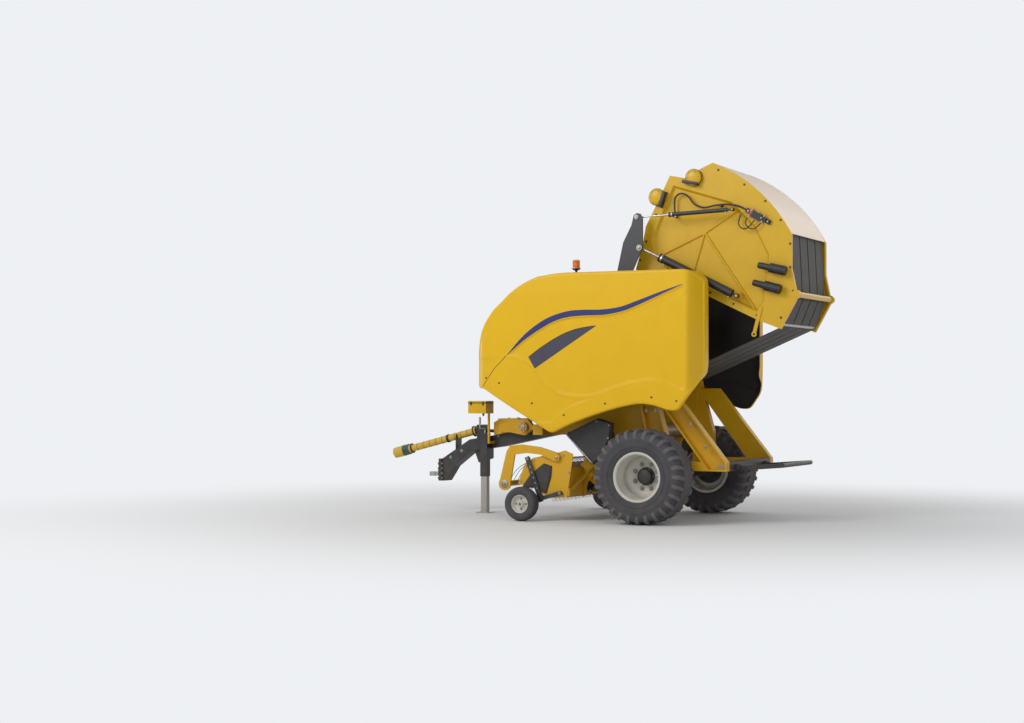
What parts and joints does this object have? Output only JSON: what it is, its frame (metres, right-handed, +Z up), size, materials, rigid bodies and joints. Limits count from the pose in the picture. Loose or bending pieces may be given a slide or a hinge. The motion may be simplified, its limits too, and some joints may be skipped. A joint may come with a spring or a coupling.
{
  "type": "round baler",
  "caption": "Towed round baler with a belted bale chamber, raised tailgate on two pairs of cylinders, hinged side shields, tined pickup, drive shaft and road wheels.",
  "frame": {"origin": "on the ground under the middle of the machine's bounding box", "axes": "+X towards the rear, -Y the machine's left side, +Z up"},
  "size_m": [5.4609, 2.7, 4.0039],
  "materials": {
    "yellow": "gloss paint",
    "cream": "gloss paint, sun bleached",
    "black": "satin paint",
    "slate": "satin paint",
    "rim": "off-white paint",
    "steel": "worn bright steel",
    "chrome": "polished",
    "rust": "rubbed steel with surface rust",
    "belt": "patterned rubber belt",
    "tyre": "dusty rubber",
    "guard": "moulded",
    "plastic_black": "moulded",
    "hose": "oil hose",
    "amber": "clear moulded lens"
  },
  "bodies": {
    "chassis": {"axle_beam": "black", "side_frames": "yellow", "rear_crossmember": "black", "chamber_walls": "yellow", "front_rollers": "steel", "belts_front": "belt", "belts_crossing": "belt", "feed_floor": "black", "top_cover": "yellow", "net_box": "black", "front_crossmember": "yellow", "drawbar": "black", "hitch_eye": "steel", "gearbox": "yellow", "jack_tube": "black", "levers": "slate", "beacon": "amber", "beacon_base": "plastic_black", "drive_cover": "plastic_black", "control_box": "yellow", "drive_stand": "black"},
    "pto": {"pto_guard": "guard"},
    "pto_output": {"pto_yoke": "steel"},
    "wheel_left": {"tyre_left": "tyre", "rim_left": "rim", "hub_left": "black"},
    "wheel_right": {"tyre_right": "tyre", "rim_right": "rim", "hub_right": "black"},
    "jack": {"jack_leg": "steel"},
    "shield_left": {"side_shield_left": "yellow"},
    "shield_right": {"side_shield_right": "yellow"},
    "hood": {"front_hood": "yellow"},
    "tailgate": {"tailgate_walls": "yellow", "tailgate_skin": "cream", "tailgate_tubes": "yellow", "tailgate_rollers": "steel", "belts_tailgate": "belt", "oil_bottles": "plastic_black", "tailgate_hoses": "hose"},
    "pickup": {"pickup_frame": "yellow", "stripper_bands": "rust", "gauge_arms": "black", "pickup_drive_cover": "plastic_black"},
    "wind_guard_body": {"wind_guard": "yellow"},
    "reel": {"pickup_reel": "black"},
    "rotor": {"feed_rotor": "black"},
    "gauge_wheel_left": {"gauge_tyre_left": "tyre", "gauge_rim_left": "rim"},
    "gauge_wheel_right": {"gauge_tyre_right": "tyre", "gauge_rim_right": "rim"},
    "ejector": {"bale_ejector": "black"},
    "upper_barrel_body_left": {"upper_barrel_left": "black"},
    "upper_rod_body_left": {"upper_rod_left": "chrome"},
    "upper_barrel_body_right": {"upper_barrel_right": "black"},
    "upper_rod_body_right": {"upper_rod_right": "chrome"},
    "lower_barrel_body_left": {"lower_barrel_left": "black"},
    "lower_rod_body_left": {"lower_rod_left": "chrome"},
    "lower_barrel_body_right": {"lower_barrel_right": "black"},
    "lower_rod_body_right": {"lower_rod_right": "chrome"}
  },
  "joints": [
    {"name": "wheel_spin_left", "type": "hinge", "parent": "chassis", "child": "wheel_left", "pos_m": [1.075, -1.1, 0.525], "axis": [0, 1, 0], "continuous": true},
    {"name": "wheel_spin_right", "type": "hinge", "parent": "chassis", "child": "wheel_right", "pos_m": [1.075, 1.1, 0.525], "axis": [0, 1, 0], "continuous": true},
    {"name": "jack_slide", "type": "slide", "parent": "chassis", "child": "jack", "axis": [0, 0, 1], "range_m": [0, 0.25]},
    {"name": "shield_hinge_left", "type": "hinge", "parent": "chassis", "child": "shield_left", "pos_m": [1.075, -0.88, 2.765], "axis": [-1, 0, 0], "range_deg": [0, 70]},
    {"name": "shield_hinge_right", "type": "hinge", "parent": "chassis", "child": "shield_right", "pos_m": [1.075, 0.88, 2.765], "axis": [1, 0, 0], "range_deg": [0, 70]},
    {"name": "hood_hinge", "type": "hinge", "parent": "chassis", "child": "hood", "pos_m": [-0.015, 0, 2.782], "axis": [0, 1, 0], "range_deg": [0, 60]},
    {"name": "tailgate_hinge", "type": "hinge", "parent": "chassis", "child": "tailgate", "pos_m": [1.025, 0, 2.78], "axis": [0, 1, 0], "range_deg": [0, 64], "deforming": ["belts_crossing"]},
    {"name": "pickup_lift", "type": "hinge", "parent": "chassis", "child": "pickup", "pos_m": [0.385, 0, 0.64], "axis": [0, 1, 0], "range_deg": [0, 12]},
    {"name": "reel_spin", "type": "hinge", "parent": "pickup", "child": "reel", "pos_m": [-0.125, 0, 0.45], "axis": [0, 1, 0], "continuous": true},
    {"name": "rotor_spin", "type": "hinge", "parent": "chassis", "child": "rotor", "pos_m": [0.385, 0, 0.64], "axis": [0, 1, 0], "continuous": true},
    {"name": "gauge_spin_left", "type": "hinge", "parent": "pickup", "child": "gauge_wheel_left", "pos_m": [-0.355, -1.235, 0.195], "axis": [0, 1, 0], "continuous": true},
    {"name": "gauge_spin_right", "type": "hinge", "parent": "pickup", "child": "gauge_wheel_right", "pos_m": [-0.355, 1.235, 0.195], "axis": [0, 1, 0], "continuous": true},
    {"name": "ejector_hinge", "type": "hinge", "parent": "chassis", "child": "ejector", "pos_m": [1.97, 0, 0.61], "axis": [0, 1, 0], "range_deg": [-20, 8]},
    {"name": "wind_guard_hinge", "type": "hinge", "parent": "pickup", "child": "wind_guard_body", "pos_m": [0.035, 0, 0.715], "axis": [0, 1, 0], "range_deg": [0, 10]},
    {"name": "pto_swing", "type": "hinge", "parent": "chassis", "child": "pto", "pos_m": [-1.565, 0, 0.985], "axis": [0, 1, 0], "range_deg": [0, 25]},
    {"name": "pto_spin", "type": "hinge", "parent": "pto", "child": "pto_output", "pos_m": [-2.675, 0, 0.70458], "axis": [-0.9695, 0, -0.2449], "continuous": true},
    {"name": "upper_barrel_left_hinge", "type": "hinge", "parent": "tailgate", "child": "upper_barrel_body_left", "pos_m": [2.00515, -0.8, 3.46027], "axis": [0, 1, 0], "range_deg": [-16.34, 0.5]},
    {"name": "upper_rod_left_slide", "type": "slide", "parent": "upper_barrel_body_left", "child": "upper_rod_body_left", "axis": [-0.9993, 0, -0.0361], "range_m": [-0.005, 0.5854]},
    {"name": "upper_barrel_right_hinge", "type": "hinge", "parent": "tailgate", "child": "upper_barrel_body_right", "pos_m": [2.00515, 0.8, 3.46027], "axis": [0, 1, 0], "range_deg": [-16.34, 0.5]},
    {"name": "upper_rod_right_slide", "type": "slide", "parent": "upper_barrel_body_right", "child": "upper_rod_body_right", "axis": [-0.9993, 0, -0.0361], "range_m": [-0.005, 0.5854]},
    {"name": "lower_barrel_left_hinge", "type": "hinge", "parent": "tailgate", "child": "lower_barrel_body_left", "pos_m": [2.0516, -0.8, 2.5088], "axis": [0, 1, 0], "range_deg": [-14.14, 0.5]},
    {"name": "lower_rod_left_slide", "type": "slide", "parent": "lower_barrel_body_left", "child": "lower_rod_body_left", "axis": [-0.8945, 0, 0.4472], "range_m": [-0.005, 0.1122]},
    {"name": "lower_barrel_right_hinge", "type": "hinge", "parent": "tailgate", "child": "lower_barrel_body_right", "pos_m": [2.0516, 0.8, 2.5088], "axis": [0, 1, 0], "range_deg": [-14.14, 0.5]},
    {"name": "lower_rod_right_slide", "type": "slide", "parent": "lower_barrel_body_right", "child": "lower_rod_body_right", "axis": [-0.8945, 0, 0.4472], "range_m": [-0.005, 0.1122]}
  ],
  "couplings": [
    {"joint": "upper_barrel_left_hinge", "follows": "tailgate_hinge", "ratio": -0.24756},
    {"joint": "upper_rod_left_slide", "follows": "tailgate_hinge", "m_per_rad": 0.51957},
    {"joint": "upper_barrel_right_hinge", "follows": "tailgate_hinge", "ratio": -0.24756},
    {"joint": "upper_rod_right_slide", "follows": "tailgate_hinge", "m_per_rad": 0.51957},
    {"joint": "lower_barrel_left_hinge", "follows": "tailgate_hinge", "ratio": -0.21312},
    {"joint": "lower_rod_left_slide", "follows": "tailgate_hinge", "m_per_rad": 0.09593},
    {"joint": "lower_barrel_right_hinge", "follows": "tailgate_hinge", "ratio": -0.21312},
    {"joint": "lower_rod_right_slide", "follows": "tailgate_hinge", "m_per_rad": 0.09593}
  ]
}
